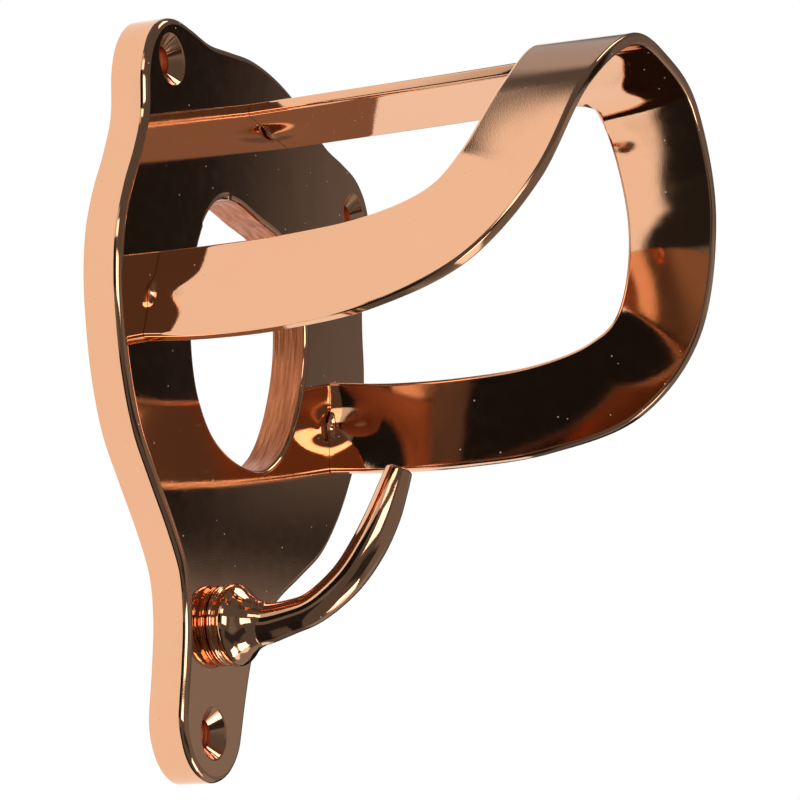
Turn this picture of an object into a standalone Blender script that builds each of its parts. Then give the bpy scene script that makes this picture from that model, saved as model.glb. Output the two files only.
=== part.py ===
"""A wall bracket for a bridle: a flat back plate, a saddle-shaped arch cast with its top bar, and a hook.

X points right, Z up, and the wall is the plane Y = 0, so everything stands out along -Y.
The origin is on the plate's back face, on its centre line, between the opening and the hook.
All the sizes are in millimetres until mm() turns them into metres.
"""

import math

import bmesh
import bpy
from mathutils import Matrix, Vector
from mathutils.geometry import interpolate_bezier

GAP = 0.3  # between any two pieces that touch

# The plate, and the screw holes that hang it on the wall.
PLATE_THICK = 12.0
PLATE_EDGE_RADIUS = 2.0
EAR_HOLE_X = 62.5
EAR_HOLE_Z = 130.0
FOOT_HOLE_Z = -60.0
WALL_HOLE_RADIUS = 4.2
WALL_SINK_RADIUS = 7.8
FOOT_RADIUS = 18.4
FOOT_CENTRE_Z = -56.0

# Half of the plate's outline, from the top down to where the foot's half circle starts.
PLATE_OUTLINE = (
    (0, 153.2),
    (14, 152.1),
    (27, 148.8),
    (40, 145.5),
    (52, 145.0),
    (62, 143.8),
    (70, 139.2),
    (75.2, 131),
    (76.4, 121),
    (74.2, 108),
    (76, 95.5),
    (79.6, 82),
    (81.2, 69),
    (79.8, 56),
    (76, 43),
    (69.6, 28),
    (60.5, 14),
    (48.5, 3),
    (35.4, -8.2),
    (25.6, -18.8),
    (21, -31),
    (19.2, -44),
)
# Half of the opening's outline, from the top down.
OPENING_OUTLINE = (
    (0, 103.4),
    (15, 103.4),
    (25, 100),
    (32, 91.8),
    (36, 81),
    (37.3, 69),
    (35.8, 56),
    (31.8, 43.4),
    (25.6, 34),
    (15.5, 26.8),
    (0, 24.3),
)

# The strap that the arch and the top bar are made of.
STRAP_THICK = 4.0
STRAP_EDGE_RADIUS = 0.9
ROOT_Y = -(PLATE_THICK + GAP)
# Stations along the right half of the arch, from the plate to the crown: the strap's upper, then
# its lower edge. At the crown the upper edge has turned to the back and the lower to the front.
ARCH_STATIONS = (
    ((56.5, ROOT_Y, 70.0), (61.5, ROOT_Y, 41.4)),
    ((59.5, -33, 69.0), (61.3, -33, 40.1)),
    ((60.7, -56, 69.2), (62.3, -57.5, 40.3)),
    ((61.4, -80, 71.4), (64.2, -85.5, 43.3)),
    ((61.5, -98.9, 77.5), (66.3, -114.4, 53.6)),
    ((60.5, -108.6, 88.5), (63.4, -133.8, 77.2)),
    ((49.6, -114, 111.7), (51.6, -142.0, 110.7)),
    ((26.5, -114, 135.3), (26.0, -144.6, 135.2)),
    ((0, -113.6, 137.4), (0, -145.0, 140.2)),
)
ARCH_STEPS = 6  # lofted steps between two stations
BAR_WIDTH = 29.4
BAR_FLARE_STEPS = 6
BAR_ROOT_Z = 135.2
BAR_CROWN_Z = 137.4
BAR_CROWN_Y = -114.5
BAR_FILLET = 7.0

# The bosses at the arch's three ends take the screws that hold it to the plate.
# Each one dies away smoothly into the strap.
BOSS_RADIUS = 5.0
BOSS_TIP_RADIUS = 1.5
BOSS_LENGTH = 17.0
BOSS_STEPS = 6
ARM_SCREW_X = 59.0
ARM_SCREW_Z = 55.5
BAR_SCREW_Z = 135.2

# The hook: a turned collar and a round rod bent up out of it.
HOOK_Z = -27.0
# Distance from the plate and radius, from the collar's face on the plate to the neck.
COLLAR_PROFILE = (
    (0, 11.4),
    (0.4, 11.9),
    (1.0, 12.0),
    (1.6, 11.8),
    (2.1, 11.2),
    (2.5, 11.5),
    (3.2, 12.1),
    (4.4, 12.4),
    (5.8, 12.1),
    (7.2, 11.1),
    (8.6, 9.6),
    (10.0, 8.1),
    (11.4, 7.1),
    (13.0, 6.4),
    (15.0, 5.8),
    (17.0, 5.5),
)
# Stations along the rod's middle: Y, Z and the rod's radius.
HOOK_STATIONS = (
    (-25, -27.0, 5.6),
    (-34, -25.6, 5.2),
    (-40.4, -23.7, 4.9),
    (-46.5, -19.7, 5.0),
    (-52.8, -13.5, 5.2),
    (-58.1, -5.1, 5.4),
    (-62, 3.8, 5.2),
    (-64.6, 12.3, 4.6),
    (-66, 17.3, 4.1),
)

# Countersunk machine screws, put in from the back of the plate.
ARM_SCREW_RADIUS = 2.0
ARM_SCREW_REACH = 20.0
HOOK_SCREW_RADIUS = 3.0
HOOK_SCREW_REACH = 24.0
HEAD_RATIO = 2.0  # a head's radius over its shank's
SOCKET_RATIO = 0.72  # across the corners of its hexagonal socket, over the shank's

ROUND_SIDES = 32
SCREW_SIDES = 24
MERGE = 0.00005  # metres

COPPER = (0.72, 0.36, 0.2)
STEEL = (0.5, 0.49, 0.47)


def mm(*values):
    return Vector([value / 1000 for value in values])


def clear_scene():
    for obj in list(bpy.data.objects):
        bpy.data.objects.remove(obj, do_unlink=True)


def new_collection(name):
    collection = bpy.data.collections.new(name)
    bpy.context.scene.collection.children.link(collection)
    return collection


def metal(name, colour, roughness):
    material = bpy.data.materials.new(name)
    material.use_nodes = True
    shader = material.node_tree.nodes["Principled BSDF"]
    shader.inputs["Base Color"].default_value = (*colour, 1)
    shader.inputs["Metallic"].default_value = 1.0
    shader.inputs["Roughness"].default_value = roughness
    return material


def add_object(name, mesh, collection, material=None):
    obj = bpy.data.objects.new(name, mesh)
    collection.objects.link(obj)
    if material:
        mesh.materials.clear()
        mesh.materials.append(material)
    return obj


def as_cutter(obj):
    obj.hide_render = True
    obj.display_type = "WIRE"
    return obj


def mesh_from(bm, name):
    bmesh.ops.recalc_face_normals(bm, faces=bm.faces)
    mesh = bpy.data.meshes.new(name)
    bm.to_mesh(mesh)
    bm.free()
    return mesh


def baked(obj):
    """The object's mesh with its modifiers or its curve worked out, and its doubles merged."""
    graph = bpy.context.evaluated_depsgraph_get()
    mesh = bpy.data.meshes.new_from_object(obj.evaluated_get(graph))
    mesh.transform(obj.matrix_world)
    bm = bmesh.new()
    bm.from_mesh(mesh)
    bmesh.ops.remove_doubles(bm, verts=bm.verts, dist=MERGE)
    bmesh.ops.recalc_face_normals(bm, faces=bm.faces)
    bm.to_mesh(mesh)
    bm.free()
    bpy.data.objects.remove(obj, do_unlink=True)
    return mesh


def smooth_run(points, steps, closed=False):
    """Points along one smooth curve through these, with this many steps between two of them."""
    points = [Vector(point) for point in points]
    count = len(points)
    run = []
    for i in range(count if closed else count - 1):
        before, start = points[i - 1] if closed or i else points[0], points[i]
        end = points[(i + 1) % count]
        after = points[(i + 2) % count] if closed or i + 2 < count else end
        pieces = interpolate_bezier(start, start + (end - before) / 6, end - (after - start) / 6, end, steps + 1)
        run.extend(pieces[:-1])
    if not closed:
        run.append(points[-1])
    return run


def add_loop(curve, outline, steps):
    """Adds one closed flat spline to the curve. The outline's X and Z are the curve's own X and Y."""
    points = smooth_run([(x, z, 0) for x, z in outline], steps, closed=True)
    spline = curve.splines.new("POLY")
    spline.points.add(len(points) - 1)
    for place, point in zip(spline.points, points):
        place.co = (*mm(*point), 1)
    spline.use_cyclic_u = True


def both_halves(half):
    """A whole outline from its right half, whose first and last points are on the centre line."""
    return list(half) + [(-x, z) for x, z in half[-2:0:-1]]


def foot_arc(steps=6):
    """Half of the foot's round end, from its side to the lowest point."""
    angles = [math.pi / 2 * i / steps for i in range(steps + 1)]
    return [(FOOT_RADIUS * math.cos(a), FOOT_CENTRE_Z - FOOT_RADIUS * math.sin(a)) for a in angles]


def round_front_edges(mesh, front_y):
    """Rounds the sharp edges that lie on the plane Y = front_y."""
    bm = bmesh.new()
    bm.from_mesh(mesh)
    edges = [
        edge
        for edge in bm.edges
        if all(abs(vert.co.y - front_y) < MERGE for vert in edge.verts)
        and len(edge.link_faces) == 2
        and abs(edge.link_faces[0].normal.dot(edge.link_faces[1].normal)) < 0.5
    ]
    bmesh.ops.bevel(
        bm,
        geom=edges,
        offset=PLATE_EDGE_RADIUS / 1000,
        segments=3,
        profile=0.5,
        affect="EDGES",
    )
    bmesh.ops.dissolve_limit(bm, angle_limit=0.001, verts=bm.verts, edges=bm.edges)
    bm.to_mesh(mesh)
    bm.free()


def plate_blank(collection):
    curve = bpy.data.curves.new("plate_outline", "CURVE")
    curve.dimensions = "2D"
    curve.fill_mode = "BOTH"
    curve.extrude = PLATE_THICK / 2000
    add_loop(curve, both_halves(PLATE_OUTLINE + tuple(foot_arc())), 3)
    add_loop(curve, both_halves(OPENING_OUTLINE), 4)
    obj = bpy.data.objects.new("plate_outline", curve)
    obj.matrix_world = Matrix.Translation(mm(0, -PLATE_THICK / 2, 0)) @ Matrix.Rotation(math.pi / 2, 4, "X")
    collection.objects.link(obj)
    bpy.context.view_layer.update()
    mesh = baked(obj)
    round_front_edges(mesh, -PLATE_THICK / 1000)
    return mesh


def turned(name, profile, origin, collection, sides=ROUND_SIDES):
    """A solid turned about the line through origin along -Y, from (distance along it, radius) pairs."""
    bm = bmesh.new()
    ends = [(profile[0][0], 0), *profile, (profile[-1][0], 0)]
    verts = [bm.verts.new(mm(radius, -along, 0)) for along, radius in ends]
    edges = [bm.edges.new(pair) for pair in zip(verts, verts[1:])]
    bmesh.ops.spin(
        bm,
        geom=verts + edges,
        cent=(0, 0, 0),
        axis=(0, 1, 0),
        angle=2 * math.pi,
        steps=sides,
        use_merge=True,
    )
    bmesh.ops.remove_doubles(bm, verts=bm.verts, dist=MERGE)
    bmesh.ops.translate(bm, verts=bm.verts, vec=mm(*origin))
    return add_object(name, mesh_from(bm, name), collection)


def boolean(obj, other, operation):
    modifier = obj.modifiers.new(f"{operation.lower()}_{other.name}", "BOOLEAN")
    modifier.operation = operation
    modifier.object = other
    as_cutter(other)


def wall_hole(name, x, z, cutters):
    """A countersunk hole through the plate, wide at the front."""
    reach = WALL_SINK_RADIUS - WALL_HOLE_RADIUS
    profile = (
        (-1, WALL_HOLE_RADIUS),
        (PLATE_THICK - reach, WALL_HOLE_RADIUS),
        (PLATE_THICK + 1, WALL_SINK_RADIUS + 1),
    )
    return turned(name, profile, (x, 0, z), cutters)


def screw_profile(radius, reach, grow=0.0):
    """A countersunk screw from its head's flat face, 0.5 mm inside the wall plane. grow fattens it into its hole."""
    head = radius * HEAD_RATIO
    start = 0.5
    rim = 0.4
    return (
        (start - (1.5 if grow else 0), head + grow),
        (start + rim, head + grow),
        (start + rim + head - radius, radius + grow),
        (reach + grow, radius + grow),
    )


def screw(name, x, z, radius, reach, parts, cutters, material):
    body = turned(name, screw_profile(radius, reach), (x, 0, z), parts, SCREW_SIDES)
    body.data.materials.append(material)
    socket_depth = radius * 1.1
    bm = bmesh.new()
    bmesh.ops.create_cone(
        bm,
        cap_ends=True,
        segments=6,
        radius1=radius * SOCKET_RATIO / 1000,
        radius2=radius * SOCKET_RATIO / 1000,
        depth=2 * socket_depth / 1000,
        matrix=Matrix.Translation(mm(x, -0.5, z)) @ Matrix.Rotation(math.pi / 2, 4, "X"),
    )
    socket = add_object(f"{name}_socket", mesh_from(bm, f"{name}_socket"), cutters)
    boolean(body, socket, "DIFFERENCE")
    return body


def strip(name, left_rail, right_rail, collection):
    """A strap lofted between two rails, with its thickness and its rounded edges."""
    bm = bmesh.new()
    rows = [(bm.verts.new(mm(*a)), bm.verts.new(mm(*b))) for a, b in zip(left_rail, right_rail)]
    for (a, b), (c, d) in zip(rows, rows[1:]):
        bm.faces.new((a, c, d, b))
    obj = add_object(name, mesh_from(bm, name), collection)
    thicken = obj.modifiers.new("strap", "SOLIDIFY")
    thicken.thickness = STRAP_THICK / 1000
    thicken.offset = 0
    thicken.use_even_offset = True
    rounding = obj.modifiers.new("rounded_edges", "BEVEL")
    rounding.width = STRAP_EDGE_RADIUS / 1000
    rounding.segments = 2
    rounding.limit_method = "ANGLE"
    rounding.angle_limit = math.radians(50)
    return obj


def arch_strip(collection):
    rails = []
    for right in zip(*ARCH_STATIONS):
        left = [(-x, y, z) for x, y, z in right]
        rails.append(smooth_run(left + list(right[-2::-1]), ARCH_STEPS))
    return strip("arch_strap", *rails, collection)


def bar_strip(collection):
    """The top bar, which widens in two fillets where it runs into the back of the crown."""
    along = [ROOT_Y, (ROOT_Y + BAR_CROWN_Y) / 2]
    widths = [BAR_WIDTH / 2] * 2
    for i in range(BAR_FLARE_STEPS + 1):
        turn = math.pi / 2 * i / BAR_FLARE_STEPS
        along.append(BAR_CROWN_Y + BAR_FILLET * (1 - math.sin(turn)))
        widths.append(BAR_WIDTH / 2 + BAR_FILLET * (1 - math.cos(turn)))
    along.append(BAR_CROWN_Y - STRAP_THICK)
    widths.append(widths[-1])
    slope = (BAR_CROWN_Z - BAR_ROOT_Z) / (BAR_CROWN_Y - ROOT_Y)
    heights = [BAR_ROOT_Z + slope * (y - ROOT_Y) for y in along]
    rails = [
        [(side * width, y, z) for width, y, z in zip(widths, along, heights)] for side in (-1, 1)
    ]
    return strip("bar_strap", *rails, collection)


def boss_profile():
    profile = []
    for i in range(BOSS_STEPS + 1):
        fade = (1 + math.cos(math.pi * i / BOSS_STEPS)) / 2
        radius = BOSS_TIP_RADIUS + (BOSS_RADIUS - BOSS_TIP_RADIUS) * fade
        profile.append((-ROOT_Y + BOSS_LENGTH * i / BOSS_STEPS, radius))
    return profile


def hook_rod(collection):
    curve = bpy.data.curves.new("hook_rod", "CURVE")
    curve.dimensions = "3D"
    curve.bevel_depth = 0.001
    curve.bevel_resolution = 6
    curve.use_fill_caps = True
    stations = smooth_run(HOOK_STATIONS, 3)
    spline = curve.splines.new("POLY")
    spline.points.add(len(stations) - 1)
    for place, (y, z, radius) in zip(spline.points, stations):
        place.co = (*mm(0, y, z), 1)
        place.radius = radius
    obj = bpy.data.objects.new("hook_rod", curve)
    collection.objects.link(obj)
    bpy.context.view_layer.update()
    return add_object("hook_rod", baked(obj), collection)


def smooth(obj):
    obj.data.shade_smooth()
    obj.data.set_sharp_from_angle(angle=math.radians(35))


def build():
    clear_scene()
    parts = new_collection("bridle_bracket")
    cutters = new_collection("cutters")
    copper = metal("polished_copper_plate", COPPER, 0.06)
    steel = metal("zinc_plated_steel", STEEL, 0.3)

    arm_screws = (
        ("left_arm_screw", -ARM_SCREW_X, ARM_SCREW_Z),
        ("right_arm_screw", ARM_SCREW_X, ARM_SCREW_Z),
        ("bar_screw", 0, BAR_SCREW_Z),
    )

    plate = add_object("back_plate", plate_blank(cutters), parts, copper)
    for name, x, z in (
        ("left_ear_hole", -EAR_HOLE_X, EAR_HOLE_Z),
        ("right_ear_hole", EAR_HOLE_X, EAR_HOLE_Z),
        ("foot_hole", 0, FOOT_HOLE_Z),
    ):
        boolean(plate, wall_hole(name, x, z, cutters), "DIFFERENCE")

    arch = add_object("saddle_arch", baked(arch_strip(cutters)), parts, copper)
    boolean(arch, add_object("bar", baked(bar_strip(cutters)), cutters), "UNION")
    for name, x, z in arm_screws:
        boolean(arch, turned(f"{name}_boss", boss_profile(), (x, 0, z), cutters), "UNION")
    for name, x, z in arm_screws:
        hole = screw_profile(ARM_SCREW_RADIUS, ARM_SCREW_REACH, GAP)
        bore = turned(f"{name}_bore", hole, (x, 0, z), cutters, SCREW_SIDES)
        boolean(plate, bore, "DIFFERENCE")
        boolean(arch, bore, "DIFFERENCE")
        screw(name, x, z, ARM_SCREW_RADIUS, ARM_SCREW_REACH, parts, cutters, steel)

    collar = [(-ROOT_Y + along, radius) for along, radius in COLLAR_PROFILE]
    hook = turned("hook", collar, (0, 0, HOOK_Z), parts)
    hook.data.materials.append(copper)
    boolean(hook, hook_rod(cutters), "UNION")
    hole = screw_profile(HOOK_SCREW_RADIUS, HOOK_SCREW_REACH, GAP)
    bore = turned("hook_screw_bore", hole, (0, 0, HOOK_Z), cutters, SCREW_SIDES)
    boolean(plate, bore, "DIFFERENCE")
    boolean(hook, bore, "DIFFERENCE")
    screw("hook_screw", 0, HOOK_Z, HOOK_SCREW_RADIUS, HOOK_SCREW_REACH, parts, cutters, steel)

    for obj in parts.objects:
        smooth(obj)


build()
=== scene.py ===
"""The looks of a copper-plated wall bracket for a bridle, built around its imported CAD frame.

Everything is in metres in the frame's own axes: X points right, Z up, and the wall is the plane Y = 0.
Sizes below are in millimetres until mm() or MM turns them into metres.
"""

import math
from collections import namedtuple

import bmesh
import bpy
from mathutils import Matrix, Vector
from mathutils.geometry import interpolate_bezier


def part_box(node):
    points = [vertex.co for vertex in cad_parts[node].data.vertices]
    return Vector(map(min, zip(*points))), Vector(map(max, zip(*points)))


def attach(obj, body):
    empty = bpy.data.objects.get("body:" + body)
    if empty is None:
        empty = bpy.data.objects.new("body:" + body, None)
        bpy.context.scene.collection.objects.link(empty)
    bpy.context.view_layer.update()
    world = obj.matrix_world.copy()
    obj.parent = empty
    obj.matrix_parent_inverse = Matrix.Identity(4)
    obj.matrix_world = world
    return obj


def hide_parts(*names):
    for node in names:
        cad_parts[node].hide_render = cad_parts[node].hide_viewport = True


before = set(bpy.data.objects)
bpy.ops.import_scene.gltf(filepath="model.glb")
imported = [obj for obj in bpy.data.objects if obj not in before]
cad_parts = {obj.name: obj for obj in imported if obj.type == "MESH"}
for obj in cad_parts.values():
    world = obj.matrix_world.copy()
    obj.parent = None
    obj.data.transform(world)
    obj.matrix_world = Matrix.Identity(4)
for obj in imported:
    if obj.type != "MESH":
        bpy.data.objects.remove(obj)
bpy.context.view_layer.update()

MM = 0.001
BODY = "root"

# The plate: its thickness comes from the frame, the outlines are its designer's.
PLATE_EDGE_RADIUS = 2.2
OPENING_EDGE_RADIUS = 1.4
WALL_HOLES = ((-62.5, 130.0), (62.5, 130.0), (0.0, -60.0))
WALL_HOLE_RADIUS = 4.2
WALL_HOLE_SIDES = 96
WALL_SINK_RADIUS = 7.8
WALL_SINK_LIP = 0.35
FOOT_RADIUS = 18.4
FOOT_CENTRE_Z = -56.0
# The ellipse that picks out the opening's edge and wall: the height of its middle, half of its
# width and half of its height. It leaves out the opening's two upper corners.
OPENING_PICK = (64.0, 40.67, 43.76)
# Half of the outline from the top to the start of the foot's half circle, and half of the opening.
PLATE_OUTLINE = (
    (0, 153.2),
    (14, 152.1),
    (27, 148.8),
    (40, 145.5),
    (52, 145.0),
    (62, 143.8),
    (70, 139.2),
    (75.2, 131),
    (76.4, 121),
    (74.2, 108),
    (76, 95.5),
    (79.6, 82),
    (81.2, 69),
    (79.8, 56),
    (76, 43),
    (69.6, 28),
    (60.5, 14),
    (48.5, 3),
    (35.4, -8.2),
    (25.6, -18.8),
    (21, -31),
    (19.2, -44),
)
OPENING_OUTLINE = (
    (0, 103.4),
    (15, 103.4),
    (25, 100),
    (32, 91.8),
    (36, 81),
    (37.3, 69),
    (35.8, 56),
    (31.8, 43.4),
    (25.6, 34),
    (15.5, 26.8),
    (0, 24.3),
)

# The strap of the arch and its top bar.
STRAP_THICK = 4.0
STRAP_EDGE_RADIUS = 0.95
ROOT_Y = -12.1
ROOT_SNAP = 0.4
ROOT_MARGIN = 0.05
# Polishing has worn the inner face of the crown down along its edges by CROWNING. The wear begins
# at one height and is full a little higher up.
CROWNING = 0.35
CROWNING_START_Z = 68.0
CROWNING_RUN = 25.0
ARCH_MIDDLE_Z = 75.0
# The right half of the arch: the strap's upper, then its lower edge, from the plate to the crown.
ARCH_STATIONS = (
    ((56.5, ROOT_Y, 70.0), (61.5, ROOT_Y, 41.4)),
    ((59.5, -33, 69.0), (61.3, -33, 40.1)),
    ((60.7, -56, 69.2), (62.3, -57.5, 40.3)),
    ((61.4, -80, 71.4), (64.2, -85.5, 43.3)),
    ((61.5, -98.9, 77.5), (66.3, -114.4, 53.6)),
    ((60.5, -108.6, 88.5), (63.4, -133.8, 77.2)),
    ((49.6, -114, 111.7), (51.6, -142.0, 110.7)),
    ((26.5, -114, 135.3), (26.0, -144.6, 135.2)),
    ((0, -113.6, 137.4), (0, -145.0, 140.2)),
)
ROOT_STEPS = 40
ARCH_STEPS = 12
ACROSS_STEPS = 42
OUTER_CELL = 0.045
BAR_HALF_WIDTH = 14.7
BAR_ROOT_Z = 135.2
BAR_FILLET = 7.0
BAR_STEPS = 80
BAR_EASING = 0.6
BAR_BLEND_POWER = 6
# The bar joins the crown's upper edge as far out as this; the wear there fades in beyond it.
BAR_SIDE_X = 24.0
BAR_SIDE_FADE = 12.0

# Each end of the arch swells into a boss on both faces, where a screw holds it: a half-round lip
# close to the plate, and a faint swelling that runs further out.
BOSS_RADIUS = 4.8
BOSS_LIP_HEIGHT = 0.9
BOSS_SWELL_HEIGHT = 1.3
BOSS_LIP = 1.3
BOSS_LENGTH = 18.0
BOSS_SEARCH_RADIUS = 20.0
# The end of each boss's lip is left as cast, this far out and to this side of its middle.
CAST_END_LENGTH = 0.9
CAST_END_HALF_WIDTH = BOSS_RADIUS - 1
CAST_END_SEARCH_RADIUS = 6.0
ARM_SCREW = (59.0, 55.5)
BAR_SCREW = (0.0, 135.2)

# The hook: distance from the plate and radius along its turned collar, then Y, Z and radius
# along the bent rod.
HOOK_Z = -27.0
HOOK_SIDES = 72
COLLAR_PROFILE = (
    (0, 11.4),
    (0.4, 11.9),
    (1.0, 12.0),
    (1.6, 11.8),
    (2.1, 11.2),
    (2.5, 11.5),
    (3.2, 12.1),
    (4.4, 12.4),
    (5.8, 12.1),
    (7.2, 11.1),
    (8.6, 9.6),
    (10.0, 8.35),
    (11.4, 7.45),
    (13.0, 6.75),
)
ROD_STATIONS = (
    (-28, -26.9, 5.95),
    (-34, -25.6, 5.2),
    (-40.4, -23.7, 4.9),
    (-46.5, -19.7, 5.0),
    (-52.8, -13.5, 5.2),
    (-58.1, -5.1, 5.4),
    (-62, 3.8, 5.2),
    (-64.6, 12.3, 4.6),
    (-66, 17.3, 4.1),
)
COLLAR_STEPS = 3
ROD_STEPS = 9
TIP_ROUNDING = 0.9
TIP_RINGS = 5
TIP_CROWN = 0.15

Screw = namedtuple("Screw", "name x z radius reach pitch")
# The radius is the shank's, and the reach is the tip's distance from the wall.
SCREWS = (
    Screw("left_arm_screw", -ARM_SCREW[0], ARM_SCREW[1], radius=2.0, reach=20.0, pitch=0.7),
    Screw("right_arm_screw", *ARM_SCREW, radius=2.0, reach=20.0, pitch=0.7),
    Screw("bar_screw", *BAR_SCREW, radius=2.0, reach=20.0, pitch=0.7),
    Screw("hook_screw", 0.0, HOOK_Z, radius=3.0, reach=24.0, pitch=1.0),
)
ARCH_SCREWS = SCREWS[:3]
HOOK_SCREW = SCREWS[3]
SCREW_HEAD_START = 0.5
SCREW_RIM = 0.4
SCREW_GAP = 0.12
SCREW_SIDES = 40
SCREW_RINGS = 240
# These are multiples of the shank's radius, and the last one is of the thread's half pitch.
HEAD_SIZE = 2.0
SOCKET_SIZE = 0.72
SOCKET_TOOL_LENGTH = 2.2
THREAD_DEPTH = 1.1
PLATE_BORE_SIDES = 64
BORE_SIDES = 48

# Edges sharper than this, in degrees, are rounded.
SHARP_EDGE = 50
# A face stands upright on the plate if its normal's Y is less than this.
UPRIGHT = 0.3
WELD = 0.01 * MM


def mm(*values):
    return Vector([value * MM for value in values])


# ---------------------------------------------------------------- small mesh helpers


def object_from(bm, name):
    """A new object from this bmesh, with its doubles merged and its faces pointing out."""
    bmesh.ops.remove_doubles(bm, verts=bm.verts, dist=WELD)
    bmesh.ops.recalc_face_normals(bm, faces=bm.faces)
    mesh = bpy.data.meshes.new(name)
    bm.to_mesh(mesh)
    bm.free()
    obj = bpy.data.objects.new(name, mesh)
    bpy.context.scene.collection.objects.link(obj)
    return obj


def bake(obj):
    """Works the object's modifiers or curve out into its mesh, in world space."""
    name = obj.name
    graph = bpy.context.evaluated_depsgraph_get()
    mesh = bpy.data.meshes.new_from_object(obj.evaluated_get(graph), depsgraph=graph)
    mesh.transform(obj.matrix_world)
    mesh.name = name
    bpy.data.objects.remove(obj, do_unlink=True)
    baked = bpy.data.objects.new(name, mesh)
    bpy.context.scene.collection.objects.link(baked)
    return baked


def smooth_run(points, steps, closed=False):
    """Points along one smooth curve through these. steps is one count, or one for each stretch."""
    points = [Vector(point) for point in points]
    count = len(points)
    stretches = count if closed else count - 1
    if isinstance(steps, int):
        steps = [steps] * stretches
    run = []
    for i in range(stretches):
        before = points[i - 1] if closed or i else points[0]
        start = points[i]
        end = points[(i + 1) % count]
        after = points[(i + 2) % count] if closed or i + 2 < count else end
        leave = start + (end - before) / 6
        arrive = end - (after - start) / 6
        run.extend(interpolate_bezier(start, leave, arrive, end, steps[i] + 1)[:-1])
    if not closed:
        run.append(points[-1])
    return run


def cut(obj, cutter):
    """Takes the cutter out of the object, and removes the cutter."""
    modifier = obj.modifiers.new("cut", "BOOLEAN")
    modifier.operation = "DIFFERENCE"
    modifier.object = cutter
    baked = bake(obj)
    bpy.data.objects.remove(cutter, do_unlink=True)
    return baked


def ring_tube(name, rings):
    """A closed tube through these rings of points, with a fan over each end."""
    bm = bmesh.new()
    loops = [[bm.verts.new(point) for point in ring] for ring in rings]
    count = len(loops[0])
    for a, b in zip(loops, loops[1:]):
        for i in range(count):
            bm.faces.new((a[i], a[(i + 1) % count], b[(i + 1) % count], b[i]))
    for loop in (loops[0], loops[-1]):
        middle = bm.verts.new(sum((vert.co for vert in loop), Vector()) / count)
        for i in range(count):
            bm.faces.new((loop[i], loop[(i + 1) % count], middle))
    return object_from(bm, name)


def turned(name, profile, x, z, sides):
    """A solid turned about the line through (x, z) along -Y, from (distance, radius) pairs."""
    angles = [2 * math.pi * i / sides for i in range(sides)]
    rings = []
    for along, radius in profile:
        rings.append([mm(x + radius * math.cos(a), -along, z + radius * math.sin(a)) for a in angles])
    return ring_tube(name, rings)


def shade(obj, sharp_degrees=32):
    """Smooth shading that stays flat on flat faces and crisp over real edges."""
    obj.data.shade_smooth()
    obj.data.set_sharp_from_angle(angle=math.radians(sharp_degrees))
    weighted = obj.modifiers.new("flat_faces", "WEIGHTED_NORMAL")
    weighted.mode = "FACE_AREA"
    weighted.weight = 50
    weighted.keep_sharp = True
    return bake(obj)


def dress(obj, materials, slot, *nodes):
    """Finishes a piece: its materials, its body and the CAD nodes it stands for; its record slot is not
    used.
    """
    if materials:
        obj.data.materials.clear()
        for material in materials:
            obj.data.materials.append(material)
    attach(obj, BODY)
    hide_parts(*nodes)
    return obj


# ---------------------------------------------------------------- back plate


def both_halves(half):
    """A whole outline from its right half, whose first and last points are on the centre line."""
    return list(half) + [(-x, z) for x, z in half[-2:0:-1]]


def foot_arc(steps=8):
    """The right half of the foot's half circle, from its side to its lowest point."""
    angles = [math.pi / 2 * i / steps for i in range(steps + 1)]
    return [(FOOT_RADIUS * math.cos(a), FOOT_CENTRE_Z - FOOT_RADIUS * math.sin(a)) for a in angles]


def add_loop(curve, outline, steps):
    """Adds a closed loop through this outline's points to a flat curve."""
    points = smooth_run([(x, z, 0) for x, z in outline], steps, closed=True)
    spline = curve.splines.new("POLY")
    spline.points.add(len(points) - 1)
    for place, point in zip(spline.points, points):
        place.co = (*mm(*point), 1)
    spline.use_cyclic_u = True


def in_opening(point):
    """Whether a point lies in the ellipse that picks out the opening."""
    middle, half_width, half_height = OPENING_PICK
    return (point.x / MM / half_width) ** 2 + ((point.z / MM - middle) / half_height) ** 2 < 1


def in_wall_hole(point, slack=0.2):
    """Whether a point lies in the straight part of a wall screw's hole, or on its wall."""
    reach = WALL_HOLE_RADIUS + slack
    return any(math.hypot(point.x / MM - x, point.z / MM - z) < reach for x, z in WALL_HOLES)


def round_edges(obj, wanted, radius, segments, flat_fronts=False):
    """Rounds the sharp edges that wanted() picks, once flat front and back faces are merged if asked."""
    bm = bmesh.new()
    bm.from_mesh(obj.data)
    bmesh.ops.remove_doubles(bm, verts=bm.verts, dist=WELD)
    if flat_fronts:
        facing = [edge for edge in bm.edges if all(abs(face.normal.y) > 0.999 for face in edge.link_faces)]
        fill = [edge for edge in facing if edge.calc_face_angle(1) < 0.01]
        bmesh.ops.dissolve_edges(bm, edges=fill, use_verts=False)
    bmesh.ops.recalc_face_normals(bm, faces=bm.faces)
    sharp = math.radians(SHARP_EDGE)
    inner = [edge for edge in bm.edges if len(edge.link_faces) == 2]
    edges = [edge for edge in inner if edge.calc_face_angle(0) > sharp and wanted(edge)]
    bmesh.ops.bevel(
        bm,
        geom=edges,
        offset=radius * MM,
        segments=segments,
        profile=0.5,
        affect="EDGES",
        clamp_overlap=False,
    )
    bm.to_mesh(obj.data)
    bm.free()


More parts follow.
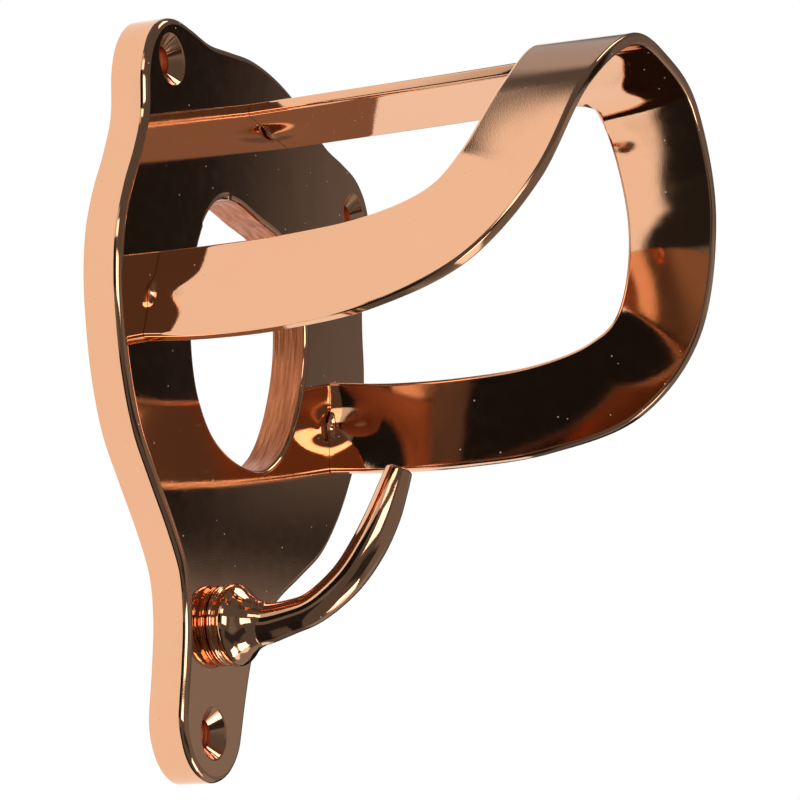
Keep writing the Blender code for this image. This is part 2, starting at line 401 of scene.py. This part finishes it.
def plate_blank(thick):
    """The plate with its opening, before its edges are rounded and its holes are cut."""
    curve = bpy.data.curves.new("plate_outline", "CURVE")
    curve.dimensions = "2D"
    curve.fill_mode = "BOTH"
    curve.extrude = thick * MM / 2
    add_loop(curve, both_halves((*PLATE_OUTLINE, *foot_arc())), 10)
    add_loop(curve, both_halves(OPENING_OUTLINE), 12)
    blank = bpy.data.objects.new("polished_plate", curve)
    blank.matrix_world = Matrix.Translation(mm(0, -thick / 2, 0)) @ Matrix.Rotation(math.pi / 2, 4, "X")
    bpy.context.scene.collection.objects.link(blank)
    bpy.context.view_layer.update()
    return bake(blank)


def back_plate(copper, cast_wall):
    low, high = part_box("back_plate")
    thick = (high.y - low.y) / MM
    plate = plate_blank(thick)

    def on_front(edge):
        return all(abs(vert.co.y + thick * MM) < WELD for vert in edge.verts)

    def outer_front(edge):
        return on_front(edge) and not in_opening(edge.verts[0].co)

    def opening_front(edge):
        return on_front(edge) and in_opening(edge.verts[0].co)

    round_edges(plate, outer_front, PLATE_EDGE_RADIUS, segments=6, flat_fronts=True)
    round_edges(plate, opening_front, OPENING_EDGE_RADIUS, segments=5, flat_fronts=True)

    # A countersink of 90 degrees, whose lip polishing has rolled over on to the plate's face.
    lip = WALL_SINK_LIP
    sink = WALL_SINK_RADIUS - WALL_HOLE_RADIUS
    wall_hole = (
        (-1, WALL_HOLE_RADIUS),
        (thick - sink, WALL_HOLE_RADIUS),
        (thick - lip, WALL_SINK_RADIUS - lip),
        (thick - lip * 0.4, WALL_SINK_RADIUS - lip * 0.25),
        (thick, WALL_SINK_RADIUS + lip * 0.6),
        (thick + 1, WALL_SINK_RADIUS + 3),
    )
    for x, z in WALL_HOLES:
        plate = cut(plate, turned("wall_hole", wall_hole, x, z, WALL_HOLE_SIDES))
    for screw in SCREWS:
        seat = screw_seat(screw.radius, thick + 1)
        plate = cut(plate, turned("bore", seat, screw.x, screw.z, PLATE_BORE_SIDES))
    plate = shade(plate)
    dress(plate, [copper, cast_wall], "copper", "back_plate")
    for face in plate.data.polygons:
        inside = in_opening(face.center) or in_wall_hole(face.center)
        face.material_index = 1 if inside and abs(face.normal.y) < UPRIGHT else 0
    return plate


def screw_seat(radius, reach):
    """The countersunk clearance hole of one screw, from behind the wall plane."""
    head = radius * HEAD_SIZE + SCREW_GAP
    shank = radius + SCREW_GAP
    start = SCREW_HEAD_START + SCREW_RIM
    return ((-1, head), (start, head), (start + head - shank, shank), (reach, shank))


# ---------------------------------------------------------------- saddle arch


def arch_rails():
    """The two edges of the whole strap, as points from the left root over the crown to the right."""
    count = len(ARCH_STATIONS)
    steps = [ROOT_STEPS] + [ARCH_STEPS] * (2 * count - 4) + [ROOT_STEPS]
    rails = []
    for right in zip(*ARCH_STATIONS):
        left = [(-x, y, z) for x, y, z in right]
        rails.append(smooth_run(left + list(right[-2::-1]), steps))
    return rails


def bar_half_width(y, crown_y):
    """Half of the bar's width at y: it flares in a quarter circle where it meets the crown."""
    into = y - crown_y
    if into >= BAR_FILLET:
        return BAR_HALF_WIDTH
    rise = 1 - max(into, 0) / BAR_FILLET
    return BAR_HALF_WIDTH + BAR_FILLET * (1 - math.sqrt(max(0.0, 1 - rise**2)))


def strap_sheet():
    """The middle surface of the arch and its top bar, as one sheet of four-sided faces.

    Its vertices carry how much polishing wears them: nothing along the strap's middle and where the
    bar joins it, and most along its free edges.
    """
    upper, lower = arch_rails()
    bm = bmesh.new()
    worn = bm.verts.layers.float.new("worn")
    # The outermost cells are wide enough for the rounding of the strap's edges.
    inner = [OUTER_CELL + (1 - 2 * OUTER_CELL) * j / ACROSS_STEPS for j in range(ACROSS_STEPS + 1)]
    places = [0, *inner, 1]
    rows = []
    for a, b in zip(upper, lower):
        rows.append([bm.verts.new(a.lerp(b, place) * MM) for place in places])
        joined_to_bar = max(0.0, 1 - max(abs(a.x) - BAR_SIDE_X, 0) / BAR_SIDE_FADE)
        for place, vert in zip(places, rows[-1]):
            across = 2 * place - 1
            vert[worn] = max(0.0, across**2 - max(-across, 0) * joined_to_bar)
    for r, s in zip(rows, rows[1:]):
        for j in range(len(places) - 1):
            bm.faces.new((r[j], r[j + 1], s[j + 1], s[j]))
    top_bar(bm, upper, rows)
    return object_from(bm, "polished_arch")


def top_bar(bm, upper, rows):
    """Adds the bar to the sheet, from the crown's upper edge back to the plate."""
    flare = BAR_HALF_WIDTH + BAR_FILLET
    crown = upper[len(upper) // 2]
    joined = [i for i, point in enumerate(upper) if abs(point.x) <= flare]
    ends = [upper[i] for i in joined]
    reach = abs(ends[0].x)
    last = [rows[i][0] for i in joined]
    for k in range(1, BAR_STEPS + 1):
        # Short steps near the fillet and near the root, where the shape changes quickly.
        part = k / BAR_STEPS
        eased = part - BAR_EASING * math.sin(2 * math.pi * part) / (2 * math.pi)
        middle_z = BAR_ROOT_Z + (crown.z - BAR_ROOT_Z) * (1 - eased)
        fade = (1 - eased) ** BAR_BLEND_POWER
        row = []
        for point in ends:
            y = point.y + (ROOT_Y - point.y) * eased
            width = bar_half_width(y, crown.y) / flare * reach
            z = point.z * fade + middle_z * (1 - fade)
            row.append(bm.verts.new(mm(point.x / reach * width, y, z)))
        for i in range(len(row) - 1):
            bm.faces.new((last[i], row[i], row[i + 1], last[i + 1]))
        last = row


def boss_place(co, x, z, normal):
    """Where a point is by a boss: along the strap from its root, across it, and its distance."""
    along = -co.y / MM + ROOT_Y
    offset = Vector((co.x / MM - x, 0, co.z / MM - z))
    return along, offset.dot(Vector((-normal.z, 0, normal.x))), offset.length


def boss_roots():
    """The middle of each boss at its root, X and Z, and the direction in which the strap faces."""
    (upper_x, _, upper_z), (lower_x, _, lower_z) = ARCH_STATIONS[0]
    slant = math.atan2(lower_x - upper_x, upper_z - lower_z)
    return (
        (-ARM_SCREW[0], ARM_SCREW[1], Vector((math.cos(slant), 0, -math.sin(slant)))),
        (ARM_SCREW[0], ARM_SCREW[1], Vector((math.cos(slant), 0, math.sin(slant)))),
        (BAR_SCREW[0], BAR_SCREW[1], Vector((0, 0, 1))),
    )


def swell_bosses(obj):
    """Raises a boss on both faces of the strap at each of its three ends."""
    for x, z, normal in boss_roots():
        for vert in obj.data.vertices:
            along, side, distance = boss_place(vert.co, x, z, normal)
            facing = vert.normal.dot(normal)
            if along > BOSS_LENGTH or distance >= BOSS_SEARCH_RADIUS or abs(facing) < 0.5:
                continue
            lip = math.exp(-((max(along, 0) / BOSS_LIP) ** 2)) * max(0.0, 1 - (side / BOSS_RADIUS) ** 2)
            swell = 0.5 + 0.5 * math.cos(math.pi * max(along, 0) / BOSS_LENGTH)
            swell *= math.exp(-((side / BOSS_RADIUS) ** 2))
            raised = BOSS_LIP_HEIGHT * lip + BOSS_SWELL_HEIGHT * swell
            vert.co += normal * math.copysign(raised * MM, facing)


def wear_inner_face(arch):
    """Lowers the inner face of the crown along its edges, so that it is slightly crowned."""
    worn = arch.data.attributes["worn"].data
    for vert in arch.data.vertices:
        inward = Vector((0, vert.co.y, ARCH_MIDDLE_Z * MM)) - vert.co
        if vert.normal.dot(inward) > 0:
            high = min(max((vert.co.z / MM - CROWNING_START_Z) / CROWNING_RUN, 0), 1)
            vert.co -= vert.normal * worn[vert.index].value * high * CROWNING * MM


def saddle_arch(copper, cast_wall):
    sheet = strap_sheet()
    thicken = sheet.modifiers.new("strap", "SOLIDIFY")
    thicken.thickness = STRAP_THICK * MM
    thicken.offset = 0
    thicken.use_even_offset = True
    arch = bake(sheet)
    wear_inner_face(arch)
    for vert in arch.data.vertices:
        if vert.co.y > (ROOT_Y - ROOT_SNAP) * MM:
            vert.co.y = ROOT_Y * MM

    def off_root(edge):
        return any(vert.co.y <= (ROOT_Y - ROOT_MARGIN) * MM for vert in edge.verts)

    round_edges(arch, off_root, STRAP_EDGE_RADIUS, segments=5)
    swell_bosses(arch)
    for screw in ARCH_SCREWS:
        seat = screw_seat(screw.radius, screw.reach + SCREW_GAP)
        arch = cut(arch, turned("bore", seat, screw.x, screw.z, BORE_SIDES))
    arch = shade(arch)
    dress(arch, [copper, cast_wall], "copper", "saddle_arch")
    for face in arch.data.polygons:
        for x, z, normal in boss_roots():
            along, side, distance = boss_place(face.center, x, z, normal)
            near = distance < CAST_END_SEARCH_RADIUS
            if near and along < CAST_END_LENGTH and abs(side) < CAST_END_HALF_WIDTH:
                face.material_index = 1
    return arch


# ---------------------------------------------------------------- hook


def hook(copper):
    """The turned collar and the bent rod, as rings along one path of (Y, Z, radius)."""
    collar = [(ROOT_Y - along, HOOK_Z, radius) for along, radius in COLLAR_PROFILE]
    collar = smooth_run(collar, COLLAR_STEPS)
    rod = smooth_run([collar[-1], *ROD_STATIONS], ROD_STEPS)[1:]
    path = [*collar, *rod]
    rings = []
    for i, (y, z, radius) in enumerate(path):
        ahead = path[min(i + 1, len(path) - 1)]
        behind = path[max(i - 1, 0)]
        along = Vector((0, ahead[0] - behind[0], ahead[1] - behind[1])).normalized()
        if i < len(collar):
            along = Vector((0, -1, 0))
        rings.append(hook_ring(Vector((0, y, z)), along, radius))
    rings.extend(tip_rings(path[-1], along))
    piece = ring_tube("polished_hook", rings)
    seat = screw_seat(HOOK_SCREW.radius, HOOK_SCREW.reach + SCREW_GAP)
    piece = cut(piece, turned("bore", seat, HOOK_SCREW.x, HOOK_SCREW.z, BORE_SIDES))
    piece = shade(piece, sharp_degrees=50)
    return dress(piece, [copper], "copper", "hook")


def tip_rings(end, along):
    """The rings of the rod's tip: its rounded rim, and then its nearly flat end."""
    y, z, radius = end
    tip = Vector((0, y, z))
    rings = []
    for k in range(1, TIP_RINGS + 1):
        turn = math.pi / 2 * k / TIP_RINGS
        middle = tip + along * TIP_ROUNDING * math.sin(turn)
        rings.append(hook_ring(middle, along, radius - TIP_ROUNDING * (1 - math.cos(turn))))
    middle = tip + along * (TIP_ROUNDING + TIP_CROWN)
    rings.append(hook_ring(middle, along, (radius - TIP_ROUNDING) * 0.5))
    return rings


def hook_ring(middle, along, radius):
    side = Vector((1, 0, 0))
    up = side.cross(along)
    angles = [2 * math.pi * i / HOOK_SIDES for i in range(HOOK_SIDES)]
    return [(middle + side * radius * math.cos(a) + up * radius * math.sin(a)) * MM for a in angles]


# ---------------------------------------------------------------- screws, by Geometry Nodes


def add(tree, kind, inputs=None, **settings):
    """Adds a node with these settings. Each input is a value, or a node or socket to link from.

    The Mix node's inputs go by number, because its kinds share their names: 0 is the factor, 2 and 3
    are two numbers, 6 and 7 are two colours. Its output 2 is the mixed colour.
    """
    node = tree.nodes.new(kind)
    for key, value in settings.items():
        setattr(node, key, value)
    for key, source in (inputs or {}).items():
        if isinstance(source, bpy.types.Node):
            source = source.outputs[0]
        if isinstance(source, bpy.types.NodeSocket):
            tree.links.new(source, node.inputs[key])
        else:
            node.inputs[key].default_value = source
    return node


def screw_tree(steel):
    """A countersunk machine screw along -Y: head, shank and thread grooves, with a hexagonal socket."""
    tree = bpy.data.node_groups.new("countersunk_screw", "GeometryNodeTree")
    interface = tree.interface
    interface.new_socket("Geometry", in_out="INPUT", socket_type="NodeSocketGeometry")
    for name in ("Shank Radius", "Reach", "Thread Pitch", "X", "Z"):
        interface.new_socket(name, in_out="INPUT", socket_type="NodeSocketFloat")
    interface.new_socket("Geometry", in_out="OUTPUT", socket_type="NodeSocketGeometry")
    given = add(tree, "NodeGroupInput").outputs
    shank, pitch = given["Shank Radius"], given["Thread Pitch"]

    # The screw's axis, in short steps from the face of its head to its tip.
    start = SCREW_HEAD_START * MM
    tip = add(tree, "ShaderNodeMath", {0: given["Reach"], 1: -1.0}, operation="MULTIPLY")
    first = add(tree, "ShaderNodeCombineXYZ", {"X": given["X"], "Y": -start, "Z": given["Z"]})
    last = add(tree, "ShaderNodeCombineXYZ", {"X": given["X"], "Y": tip, "Z": given["Z"]})
    axis = add(tree, "GeometryNodeCurvePrimitiveLine", {"Start": first, "End": last})
    steps = add(tree, "GeometryNodeResampleCurve", {"Curve": axis, "Count": SCREW_RINGS})

    # Its radius along the axis: the head's rim, the head's cone, and the shank less its grooves.
    length = add(tree, "GeometryNodeSplineParameter").outputs["Length"]
    head = add(tree, "ShaderNodeMath", {0: shank, 1: HEAD_SIZE}, operation="MULTIPLY")
    past_rim = add(tree, "ShaderNodeMath", {0: length, 1: SCREW_RIM * MM}, operation="SUBTRACT")
    taper = add(tree, "ShaderNodeMath", {0: past_rim, 1: 0.0}, operation="MAXIMUM")
    cone = add(tree, "ShaderNodeMath", {0: head, 1: taper}, operation="SUBTRACT")
    turns = add(tree, "ShaderNodeMath", {0: length, 1: pitch}, operation="DIVIDE")
    ridge = add(tree, "ShaderNodeMath", {0: turns, 1: 0.5}, operation="PINGPONG")
    flank = add(tree, "ShaderNodeMath", {0: ridge, 1: pitch}, operation="MULTIPLY")
    groove = add(tree, "ShaderNodeMath", {0: flank, 1: THREAD_DEPTH}, operation="MULTIPLY")
    threaded = add(tree, "ShaderNodeMath", {0: shank, 1: groove}, operation="SUBTRACT")
    radius = add(tree, "ShaderNodeMath", {0: cone, 1: threaded}, operation="MAXIMUM")
    sized = add(tree, "GeometryNodeSetCurveRadius", {"Curve": steps, "Radius": radius})
    ring = add(tree, "GeometryNodeCurvePrimitiveCircle", {"Resolution": SCREW_SIDES, "Radius": 1.0})
    scale = add(tree, "GeometryNodeInputRadius")
    body = add(
        tree,
        "GeometryNodeCurveToMesh",
        {"Curve": sized, "Profile Curve": ring, "Scale": scale, "Fill Caps": True},
    )

    # The socket is cut with a hexagonal bar, half of it in the head and half standing out behind.
    width = add(tree, "ShaderNodeMath", {0: shank, 1: SOCKET_SIZE}, operation="MULTIPLY")
    depth = add(tree, "ShaderNodeMath", {0: shank, 1: SOCKET_TOOL_LENGTH}, operation="MULTIPLY")
    half_depth = add(tree, "ShaderNodeMath", {0: depth, 1: 0.5}, operation="MULTIPLY")
    back = add(tree, "ShaderNodeMath", {0: half_depth, 1: start}, operation="SUBTRACT")
    hexagon = add(
        tree,
        "GeometryNodeMeshCone",
        {"Vertices": 6, "Radius Top": width, "Radius Bottom": width, "Depth": depth},
    )
    place = add(tree, "ShaderNodeCombineXYZ", {"X": given["X"], "Y": back, "Z": given["Z"]})
    tool = add(
        tree,
        "GeometryNodeTransform",
        {"Geometry": hexagon, "Translation": place, "Rotation": (math.pi / 2, 0, 0)},
    )
    socketed = add(tree, "GeometryNodeMeshBoolean", {0: body, 1: tool}, operation="DIFFERENCE")
    smooth = add(tree, "GeometryNodeSetShadeSmooth", {"Geometry": socketed})
    real = add(tree, "GeometryNodeRealizeInstances", {"Geometry": smooth})
    coated = add(tree, "GeometryNodeSetMaterial", {"Geometry": real, "Material": steel})
    add(tree, "NodeGroupOutput", {0: coated})
    return tree


def screws(steel):
    tree = screw_tree(steel)
    sockets = {item.name: item.identifier for item in tree.interface.items_tree if item.in_out == "INPUT"}
    for screw in SCREWS:
        obj = bpy.data.objects.new(f"{screw.name}_threaded", bpy.data.meshes.new(screw.name))
        bpy.context.scene.collection.objects.link(obj)
        modifier = obj.modifiers.new("screw", "NODES")
        modifier.node_group = tree
        sizes = {
            "Shank Radius": screw.radius,
            "Reach": screw.reach,
            "Thread Pitch": screw.pitch,
            "X": screw.x,
            "Z": screw.z,
        }
        for label, size in sizes.items():
            modifier[sockets[label]] = size * MM
        obj = shade(bake(obj), sharp_degrees=25)
        dress(obj, [], "screw_steel", screw.name)


# ---------------------------------------------------------------- materials


def linear(hex_colour):
    """An sRGB hex colour as linear RGBA."""
    channels = [int(hex_colour[i : i + 2], 16) / 255 for i in (1, 3, 5)]
    return (*[c / 12.92 if c <= 0.04045 else ((c + 0.055) / 1.055) ** 2.4 for c in channels], 1.0)


def new_metal(name):
    """A new metal: its material, its node tree, its shader and its Object coordinates."""
    material = bpy.data.materials.new(name)
    material.use_nodes = True
    tree = material.node_tree
    shader = tree.nodes["Principled BSDF"]
    shader.inputs["Metallic"].default_value = 1.0
    place = add(tree, "ShaderNodeTexCoord").outputs["Object"]
    return material, tree, shader, place


def polished_copper():
    """Copper plate over a polished casting: a mirror, with slight ripples, fine wipe marks and dust."""
    material, tree, shader, place = new_metal("mirror_polished_copper_plate")

    # The plating's tone drifts a little over 60 mm patches.
    drift = add(tree, "ShaderNodeTexNoise", {"Vector": place, "Scale": 1 / (60 * MM), "Detail": 3.0})
    tone = add(
        tree,
        "ShaderNodeMix",
        {0: drift.outputs["Fac"], 6: linear("#ECB18A"), 7: linear("#F1BA93")},
        data_type="RGBA",
    )

    # Wipe marks about 4 mm long roughen it slightly.
    wipes = add(tree, "ShaderNodeTexNoise", {"Vector": place, "Scale": 1 / (4 * MM), "Detail": 6.0})
    rough = add(
        tree,
        "ShaderNodeMapRange",
        {"Value": wipes.outputs["Fac"], "From Min": 0.4, "From Max": 0.8, "To Min": 0.04, "To Max": 0.08},
    )

    # Ripples left by hand polishing about 16 mm long, and orange peel in the plating about 0.4 mm.
    ripples = add(tree, "ShaderNodeTexNoise", {"Vector": place, "Scale": 1 / (16 * MM), "Detail": 1.0})
    peel = add(tree, "ShaderNodeTexNoise", {"Vector": place, "Scale": 1 / (0.4 * MM), "Detail": 1.0})
    rippled = add(
        tree,
        "ShaderNodeBump",
        {"Height": ripples.outputs["Fac"], "Distance": 0.018 * MM, "Strength": 1.0},
    )
    peeled = add(
        tree,
        "ShaderNodeBump",
        {"Height": peel.outputs["Fac"], "Distance": 0.004 * MM, "Strength": 1.0, "Normal": rippled},
    )
    tree.links.new(peeled.outputs[0], shader.inputs["Normal"])

    # Specks of dust up to half a millimetre across, one to every few square centimetres.
    cells = add(tree, "ShaderNodeTexVoronoi", {"Vector": place, "Scale": 1 / (5 * MM)})
    dust = add(
        tree,
        "ShaderNodeMapRange",
        {
            "Value": cells.outputs["Distance"],
            "From Min": 0.05,
            "From Max": 0.035,
            "To Min": 0.0,
            "To Max": 0.8,
        },
    )
    dusted = add(
        tree,
        "ShaderNodeMix",
        {0: dust, 6: tone.outputs[2], 7: linear("#D8CFC6")},
        data_type="RGBA",
    )
    tree.links.new(dusted.outputs[2], shader.inputs["Base Color"])
    dull = add(tree, "ShaderNodeMix", {0: dust, 2: rough, 3: 0.9}, data_type="FLOAT")
    tree.links.new(dull.outputs[0], shader.inputs["Roughness"])
    bare = add(tree, "ShaderNodeMath", {0: 1.0, 1: dust}, operation="SUBTRACT")
    tree.links.new(bare.outputs[0], shader.inputs["Metallic"])
    return material


def cast_copper():
    """The opening's wall, plated as cast and only brushed: streaks across a dull grainy skin."""
    material, tree, shader, place = new_metal("as_cast_copper_wall")
    squeezed = add(tree, "ShaderNodeMapping", {"Vector": place, "Scale": (0.25, 1.0, 0.12)})
    streaks = add(
        tree,
        "ShaderNodeTexNoise",
        {"Vector": squeezed, "Scale": 1 / (1.6 * MM), "Detail": 5.0},
    ).outputs["Fac"]
    tone = add(
        tree,
        "ShaderNodeMix",
        {0: streaks, 6: linear("#9A4A28"), 7: linear("#DD9064")},
        data_type="RGBA",
    )
    tree.links.new(tone.outputs[2], shader.inputs["Base Color"])
    rough = add(
        tree,
        "ShaderNodeMapRange",
        {"Value": streaks, "From Min": 0.3, "From Max": 0.7, "To Min": 0.42, "To Max": 0.24},
    )
    tree.links.new(rough.outputs[0], shader.inputs["Roughness"])
    bump = add(tree, "ShaderNodeBump", {"Height": streaks, "Distance": 0.3 * MM, "Strength": 0.6})
    tree.links.new(bump.outputs[0], shader.inputs["Normal"])
    return material


def zinc_steel():
    """Zinc-plated steel screws: a pale grey satin with a faint mottle."""
    material, tree, shader, place = new_metal("zinc_plated_steel")
    mottle = add(
        tree,
        "ShaderNodeTexNoise",
        {"Vector": place, "Scale": 1 / (1.2 * MM), "Detail": 4.0},
    ).outputs["Fac"]
    tone = add(
        tree,
        "ShaderNodeMix",
        {0: mottle, 6: linear("#A9A8A2"), 7: linear("#CFCFCA")},
        data_type="RGBA",
    )
    tree.links.new(tone.outputs[2], shader.inputs["Base Color"])
    rough = add(
        tree,
        "ShaderNodeMapRange",
        {"Value": mottle, "From Min": 0.3, "From Max": 0.7, "To Min": 0.26, "To Max": 0.4},
    )
    tree.links.new(rough.outputs[0], shader.inputs["Roughness"])
    return material


# ---------------------------------------------------------------- studio


# The studio that the metal mirrors, as panels: azimuth and elevation of the middle, half width and
# half height, softness of the edge, all in degrees, and brightness. Azimuth 0 is +X, 90 is behind
# the wall. Later panels cover earlier ones, and the backdrop stands between the two lists.
ROOM = 0.10
Panel = namedtuple("Panel", "name azimuth elevation half_width half_height softness brightness")
FAR_PANELS = (
    Panel("far_side_of_the_room", -62, -12, 50, 20, 8, 0.17),
    Panel("warm_table", -15, -30, 20, 14, 8, 0.28),
    Panel("dark_front_floor", -112, -33, 22, 6, 8, 0.03),
    Panel("ceiling", 0, 90, 181, 25, 2, 0.10),
    Panel("pale_ceiling_corner", 42, 56, 12, 8, 12, 0.42),
    Panel("dark_floor", 95, -90, 85, 34, 4, 0.015),
    Panel("dark_left_wall", 168, -40, 14, 26, 4, 0.02),
    Panel("lower_left_wall", 168, -17, 14, 5, 4, 0.16),
)
NEAR_PANELS = (
    Panel("upper_left_wall", 168, 25, 12, 8, 4, 0.65),
    Panel("left_flag", 167, 4, 13, 11, 1, 0.008),
    Panel("left_window", -146, -1, 14, 8, 3, 3.0),
    Panel("high_left_window", -170, 22, 12, 4, 3, 2.2),
    Panel("black_screen", 12, 5, 12, 19, 1, 0.01),
    Panel("low_front_softbox", -57, -50, 20, 8, 2, 3.6),
    Panel("table_edge", -35, -44, 10, 5, 3, 1.2),
    Panel("overhead_softbox", -45, 62, 22, 6, 2, 3.0),
    Panel("black_door", -30, 20.5, 6, 5.5, 2, 0.012),
    Panel("door_frame", -25, 22.5, 2.2, 3, 3, 0.14),
    Panel("foot_of_the_door", -29, 12, 6, 3.6, 1.6, 0.24),
)
# The white backdrop's edges as X and Z where a direction meets the plane Y = 1. Its top slopes
# down to the right of the middle.
BACKDROP_LEFT = -2.1
BACKDROP_RIGHT = 3.0
BACKDROP_TOP = 2.05
BACKDROP_TOP_SLOPE = -0.25
BACKDROP_BOTTOM = -2.5
BACKDROP_SOFTNESS = 0.2
BACKDROP_BRIGHTNESS = 1.0

# The floor and the camera, in metres and degrees.
FLOOR_HALF_SIZE = 8.0
FLOOR_Z = -1.2
CAMERA_SENSOR_MM = 36.0
CAMERA_LENS_MM = 162.0
CAMERA_PLACE = (-0.9019, -0.5140, -0.3182)
CAMERA_TURN = (109.612, -4.071, -64.966)


def panel_distance(tree, azimuth, elevation, panel):
    """How many degrees a direction lies outside this panel: less than 0 is inside it."""
    turn = add(tree, "ShaderNodeMath", {0: azimuth, 1: panel.azimuth}, operation="SUBTRACT")
    turn = add(tree, "ShaderNodeMath", {0: turn, 1: 180.0, 2: -180.0}, operation="WRAP")
    turn = add(tree, "ShaderNodeMath", {0: turn}, operation="ABSOLUTE")
    beside = add(tree, "ShaderNodeMath", {0: turn, 1: panel.half_width}, operation="SUBTRACT")
    rise = add(tree, "ShaderNodeMath", {0: elevation, 1: panel.elevation}, operation="SUBTRACT")
    rise = add(tree, "ShaderNodeMath", {0: rise}, operation="ABSOLUTE")
    above = add(tree, "ShaderNodeMath", {0: rise, 1: panel.half_height}, operation="SUBTRACT")
    return add(tree, "ShaderNodeMath", {0: beside, 1: above}, operation="MAXIMUM")


def backdrop_distance(tree, across, upward):
    """How far outside the backdrop a direction meets its plane: less than 0 is on it."""
    left = add(tree, "ShaderNodeMath", {0: BACKDROP_LEFT, 1: across}, operation="SUBTRACT")
    right = add(tree, "ShaderNodeMath", {0: across, 1: BACKDROP_RIGHT}, operation="SUBTRACT")
    beside = add(tree, "ShaderNodeMath", {0: left, 1: right}, operation="MAXIMUM")
    rightward = add(tree, "ShaderNodeMath", {0: across, 1: 0.0}, operation="MAXIMUM")
    top = add(
        tree,
        "ShaderNodeMath",
        {0: rightward, 1: BACKDROP_TOP_SLOPE, 2: BACKDROP_TOP},
        operation="MULTIPLY_ADD",
    )
    below = add(tree, "ShaderNodeMath", {0: BACKDROP_BOTTOM, 1: upward}, operation="SUBTRACT")
    above = add(tree, "ShaderNodeMath", {0: upward, 1: top}, operation="SUBTRACT")
    beyond = add(tree, "ShaderNodeMath", {0: below, 1: above}, operation="MAXIMUM")
    return add(tree, "ShaderNodeMath", {0: beside, 1: beyond}, operation="MAXIMUM")


def lay_over(tree, light, name, distance, softness, brightness):
    """Covers the light so far with one panel, which fades out over the softness of its edge."""
    mask = add(
        tree,
        "ShaderNodeMapRange",
        {"Value": distance, "From Min": softness, "From Max": 0.0, "To Min": 0.0, "To Max": 1.0},
        interpolation_type="SMOOTHSTEP",
    )
    return add(tree, "ShaderNodeMix", {0: mask, 2: light, 3: brightness}, data_type="FLOAT", label=name)


def mirrored_light(tree):
    """How bright the studio is in each direction, from its farthest panel to its nearest."""
    direction = add(tree, "ShaderNodeTexCoord").outputs["Generated"]
    parts = add(tree, "ShaderNodeSeparateXYZ", {0: direction}).outputs
    bearing = add(tree, "ShaderNodeMath", {0: parts["Y"], 1: parts["X"]}, operation="ARCTAN2")
    azimuth = add(tree, "ShaderNodeMath", {0: bearing}, operation="DEGREES")
    height = add(tree, "ShaderNodeMath", {0: parts["Z"]}, operation="ARCSINE")
    elevation = add(tree, "ShaderNodeMath", {0: height}, operation="DEGREES")
    towards_wall = add(tree, "ShaderNodeMath", {0: parts["Y"], 1: 0.001}, operation="MAXIMUM")
    across = add(tree, "ShaderNodeMath", {0: parts["X"], 1: towards_wall}, operation="DIVIDE")
    upward = add(tree, "ShaderNodeMath", {0: parts["Z"], 1: towards_wall}, operation="DIVIDE")

    light = ROOM
    for panel in FAR_PANELS:
        distance = panel_distance(tree, azimuth, elevation, panel)
        light = lay_over(tree, light, panel.name, distance, panel.softness, panel.brightness)
    distance = backdrop_distance(tree, across, upward)
    light = lay_over(tree, light, "backdrop", distance, BACKDROP_SOFTNESS, BACKDROP_BRIGHTNESS)
    for panel in NEAR_PANELS:
        distance = panel_distance(tree, azimuth, elevation, panel)
        light = lay_over(tree, light, panel.name, distance, panel.softness, panel.brightness)
    return light


def studio():
    """A white studio with dark surroundings that the polished metal mirrors."""
    scene = bpy.context.scene
    scene.view_settings.view_transform = "Standard"
    scene.world = bpy.data.worlds.new("studio")
    scene.world.use_nodes = True
    tree = scene.world.node_tree
    tree.nodes.clear()
    mirrored = add(tree, "ShaderNodeBackground", {"Color": mirrored_light(tree)})
    plain = add(tree, "ShaderNodeBackground", {"Color": linear("#FFFFFF")})
    path = add(tree, "ShaderNodeLightPath")
    mixed = add(
        tree,
        "ShaderNodeMixShader",
        {0: path.outputs["Is Glossy Ray"], 1: plain, 2: mirrored},
    )
    add(tree, "ShaderNodeOutputWorld", {0: mixed})


def floor():
    bm = bmesh.new()
    bmesh.ops.create_grid(bm, x_segments=1, y_segments=1, size=FLOOR_HALF_SIZE)
    bmesh.ops.translate(bm, verts=bm.verts, vec=(0, 0, FLOOR_Z))
    plane = object_from(bm, "studio_floor")
    material = bpy.data.materials.new("matt_white_floor")
    material.use_nodes = True
    shader = material.node_tree.nodes["Principled BSDF"]
    shader.inputs["Base Color"].default_value = linear("#EDEDED")
    shader.inputs["Roughness"].default_value = 0.9
    plane.data.materials.append(material)
    # The polished metal mirrors the studio's own dark floor, from the world.
    plane.visible_glossy = False


def camera():
    """From the left, in front and below, looking up at the bracket, with a long lens."""
    data = bpy.data.cameras.new("camera")
    data.sensor_width = CAMERA_SENSOR_MM
    data.lens = CAMERA_LENS_MM
    data.clip_start = 0.05
    eye = bpy.data.objects.new("camera", data)
    eye.location = CAMERA_PLACE
    eye.rotation_euler = [math.radians(angle) for angle in CAMERA_TURN]
    bpy.context.scene.collection.objects.link(eye)
    bpy.context.scene.camera = eye


def build():
    camera()
    studio()
    floor()
    copper = polished_copper()
    cast_wall = cast_copper()
    back_plate(copper, cast_wall)
    saddle_arch(copper, cast_wall)
    hook(copper)
    screws(zinc_steel())


build()
